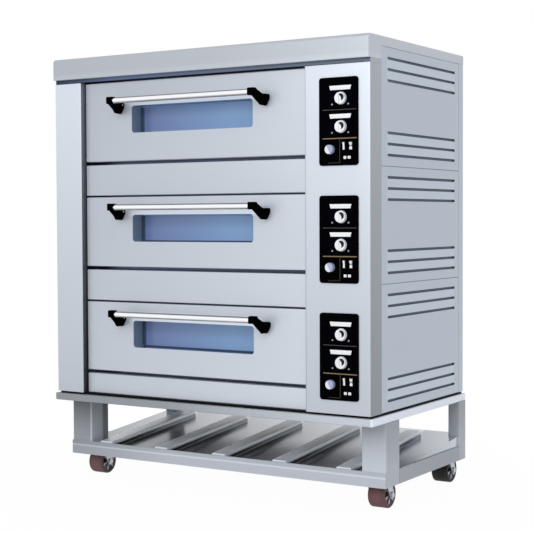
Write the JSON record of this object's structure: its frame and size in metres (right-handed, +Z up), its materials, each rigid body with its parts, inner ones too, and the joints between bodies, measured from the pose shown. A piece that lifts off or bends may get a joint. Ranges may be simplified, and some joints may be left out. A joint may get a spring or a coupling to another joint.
{
  "type": "deck oven",
  "caption": "Electric bakery deck oven with drop-down glazed doors, side controls, ventilated side panels and a low shelf stand on swivel casters.",
  "frame": {"origin": "on the floor, under the middle of the whole oven", "axes": "+Z up, +Y to the oven's back, +X to the oven's right seen from the front"},
  "size_m": [1.316, 0.806, 1.546],
  "materials": {
    "stainless_sheet": "satin",
    "door_stainless": "satin",
    "stand_paint": "satin light grey",
    "black_tray": "matte",
    "inner_plate": "mill",
    "door_plug": "mill",
    "hearth_stone": "stone, slightly rough",
    "heater_tube": "oxidised",
    "mineral_wool": "fibrous",
    "lamp_lens": "clear",
    "panel_black": "gloss",
    "thermostat_black": "satin",
    "switchgear_grey": "satin",
    "door_pane": "tinted",
    "handle_polished": "polished",
    "bracket_black": "satin",
    "dial_white": "satin",
    "button_grey": "satin",
    "rocker_white": "gloss",
    "zinc_steel": "zinc plated",
    "brown_tread": "matte rubber",
    "black_tread": "matte rubber"
  },
  "bodies": {
    "oven": {"stand_legs": "stand_paint", "stand_lower_frame": "stand_paint", "stand_top_frame": "stand_paint", "shelf": "stand_paint", "base_pan": "black_tray", "control_column": "stainless_sheet", "right_side_panels": "stainless_sheet", "left_side_panel": "stainless_sheet", "back_panel": "stainless_sheet", "canopy": "stainless_sheet", "deck_fascias": "stainless_sheet", "inner_frame": "inner_plate", "chamber_liners": "inner_plate", "hearth_plates": "hearth_stone", "heating_elements": "heater_tube", "insulation": "mineral_wool", "lamps": "lamp_lens", "control_panels": "panel_black", "thermostats": "thermostat_black", "switchgear": "switchgear_grey", "left_column": "stainless_sheet", "caster_plates": "zinc_steel"},
    "fork_front_left": {"caster_fork_front_left": "zinc_steel"},
    "wheel_front_left": {"caster_wheel_front_left": "brown_tread"},
    "fork_front_right": {"caster_fork_front_right": "zinc_steel"},
    "wheel_front_right": {"caster_wheel_front_right": "brown_tread"},
    "fork_rear_left": {"caster_fork_rear_left": "zinc_steel"},
    "wheel_rear_left": {"caster_wheel_rear_left": "brown_tread"},
    "fork_rear_right": {"caster_fork_rear_right": "zinc_steel"},
    "wheel_rear_right": {"caster_wheel_rear_right": "black_tread"},
    "door_bottom": {"door_skin_bottom": "door_stainless", "door_inner_bottom": "door_plug", "door_glass_bottom": "door_pane", "handle_bar_bottom": "handle_polished", "handle_brackets_bottom": "bracket_black"},
    "dial_bottom_lower": {"dial_knob_bottom_lower": "dial_white"},
    "dial_bottom_upper": {"dial_knob_bottom_upper": "dial_white"},
    "button_bottom": {"push_button_bottom": "button_grey"},
    "rocker_bottom_left": {"rocker_bottom_left": "rocker_white"},
    "rocker_bottom_right": {"rocker_bottom_right": "rocker_white"},
    "door_middle": {"door_skin_middle": "door_stainless", "door_inner_middle": "door_plug", "door_glass_middle": "door_pane", "handle_bar_middle": "handle_polished", "handle_brackets_middle": "bracket_black"},
    "dial_middle_lower": {"dial_knob_middle_lower": "dial_white"},
    "dial_middle_upper": {"dial_knob_middle_upper": "dial_white"},
    "button_middle": {"push_button_middle": "button_grey"},
    "rocker_middle_left": {"rocker_middle_left": "rocker_white"},
    "rocker_middle_right": {"rocker_middle_right": "rocker_white"},
    "door_top": {"door_skin_top": "door_stainless", "door_inner_top": "door_plug", "door_glass_top": "door_pane", "handle_bar_top": "handle_polished", "handle_brackets_top": "bracket_black"},
    "dial_top_lower": {"dial_knob_top_lower": "dial_white"},
    "dial_top_upper": {"dial_knob_top_upper": "dial_white"},
    "button_top": {"push_button_top": "button_grey"},
    "rocker_top_left": {"rocker_top_left": "rocker_white"},
    "rocker_top_right": {"rocker_top_right": "rocker_white"}
  },
  "joints": [
    {"name": "swivel_front_left", "type": "hinge", "parent": "oven", "child": "fork_front_left", "pos_m": [-0.594, -0.186, 0.098], "axis": [0, 0, 1], "continuous": true},
    {"name": "roll_front_left", "type": "hinge", "parent": "fork_front_left", "child": "wheel_front_left", "pos_m": [-0.594, -0.158, 0.045], "axis": [1, 0, 0], "continuous": true},
    {"name": "swivel_front_right", "type": "hinge", "parent": "oven", "child": "fork_front_right", "pos_m": [0.594, -0.186, 0.098], "axis": [0, 0, 1], "continuous": true},
    {"name": "roll_front_right", "type": "hinge", "parent": "fork_front_right", "child": "wheel_front_right", "pos_m": [0.594, -0.158, 0.045], "axis": [1, 0, 0], "continuous": true},
    {"name": "swivel_rear_left", "type": "hinge", "parent": "oven", "child": "fork_rear_left", "pos_m": [-0.594, 0.314, 0.098], "axis": [0, 0, 1], "continuous": true},
    {"name": "roll_rear_left", "type": "hinge", "parent": "fork_rear_left", "child": "wheel_rear_left", "pos_m": [-0.594, 0.342, 0.045], "axis": [1, 0, 0], "continuous": true},
    {"name": "swivel_rear_right", "type": "hinge", "parent": "oven", "child": "fork_rear_right", "pos_m": [0.594, 0.314, 0.098], "axis": [0, 0, 1], "continuous": true},
    {"name": "roll_rear_right", "type": "hinge", "parent": "fork_rear_right", "child": "wheel_rear_right", "pos_m": [0.594, 0.342, 0.045], "axis": [1, 0, 0], "continuous": true},
    {"name": "hinge_door_bottom", "type": "hinge", "parent": "oven", "child": "door_bottom", "pos_m": [-0.059, -0.308, 0.424], "axis": [1, 0, 0], "range_deg": [0, 90]},
    {"name": "turn_dial_bottom_lower", "type": "hinge", "parent": "oven", "child": "dial_bottom_lower", "pos_m": [0.549, -0.355, 0.4985], "axis": [0, -1, 0], "range_deg": [-270, 0]},
    {"name": "turn_dial_bottom_upper", "type": "hinge", "parent": "oven", "child": "dial_bottom_upper", "pos_m": [0.549, -0.355, 0.589], "axis": [0, -1, 0], "range_deg": [-270, 0]},
    {"name": "press_button_bottom", "type": "slide", "parent": "oven", "child": "button_bottom", "axis": [0, 1, 0], "range_m": [0, 0.004], "stiffness_N_per_m": 300, "springref_m": -0.005},
    {"name": "tip_rocker_bottom_left", "type": "hinge", "parent": "oven", "child": "rocker_bottom_left", "pos_m": [0.557, -0.349, 0.437], "axis": [1, 0, 0], "range_deg": [-16, 0]},
    {"name": "tip_rocker_bottom_right", "type": "hinge", "parent": "oven", "child": "rocker_bottom_right", "pos_m": [0.5825, -0.349, 0.437], "axis": [1, 0, 0], "range_deg": [-16, 0]},
    {"name": "hinge_door_middle", "type": "hinge", "parent": "oven", "child": "door_middle", "pos_m": [-0.059, -0.308, 0.802], "axis": [1, 0, 0], "range_deg": [0, 90]},
    {"name": "turn_dial_middle_lower", "type": "hinge", "parent": "oven", "child": "dial_middle_lower", "pos_m": [0.549, -0.355, 0.8765], "axis": [0, -1, 0], "range_deg": [-270, 0]},
    {"name": "turn_dial_middle_upper", "type": "hinge", "parent": "oven", "child": "dial_middle_upper", "pos_m": [0.549, -0.355, 0.967], "axis": [0, -1, 0], "range_deg": [-270, 0]},
    {"name": "press_button_middle", "type": "slide", "parent": "oven", "child": "button_middle", "axis": [0, 1, 0], "range_m": [0, 0.004], "stiffness_N_per_m": 300, "springref_m": -0.005},
    {"name": "tip_rocker_middle_left", "type": "hinge", "parent": "oven", "child": "rocker_middle_left", "pos_m": [0.557, -0.349, 0.815], "axis": [1, 0, 0], "range_deg": [-16, 0]},
    {"name": "tip_rocker_middle_right", "type": "hinge", "parent": "oven", "child": "rocker_middle_right", "pos_m": [0.5825, -0.349, 0.815], "axis": [1, 0, 0], "range_deg": [-16, 0]},
    {"name": "hinge_door_top", "type": "hinge", "parent": "oven", "child": "door_top", "pos_m": [-0.059, -0.308, 1.18], "axis": [1, 0, 0], "range_deg": [0, 90]},
    {"name": "turn_dial_top_lower", "type": "hinge", "parent": "oven", "child": "dial_top_lower", "pos_m": [0.549, -0.355, 1.2545], "axis": [0, -1, 0], "range_deg": [-270, 0]},
    {"name": "turn_dial_top_upper", "type": "hinge", "parent": "oven", "child": "dial_top_upper", "pos_m": [0.549, -0.355, 1.345], "axis": [0, -1, 0], "range_deg": [-270, 0]},
    {"name": "press_button_top", "type": "slide", "parent": "oven", "child": "button_top", "axis": [0, 1, 0], "range_m": [0, 0.004], "stiffness_N_per_m": 300, "springref_m": -0.005},
    {"name": "tip_rocker_top_left", "type": "hinge", "parent": "oven", "child": "rocker_top_left", "pos_m": [0.557, -0.349, 1.193], "axis": [1, 0, 0], "range_deg": [-16, 0]},
    {"name": "tip_rocker_top_right", "type": "hinge", "parent": "oven", "child": "rocker_top_right", "pos_m": [0.5825, -0.349, 1.193], "axis": [1, 0, 0], "range_deg": [-16, 0]}
  ]
}
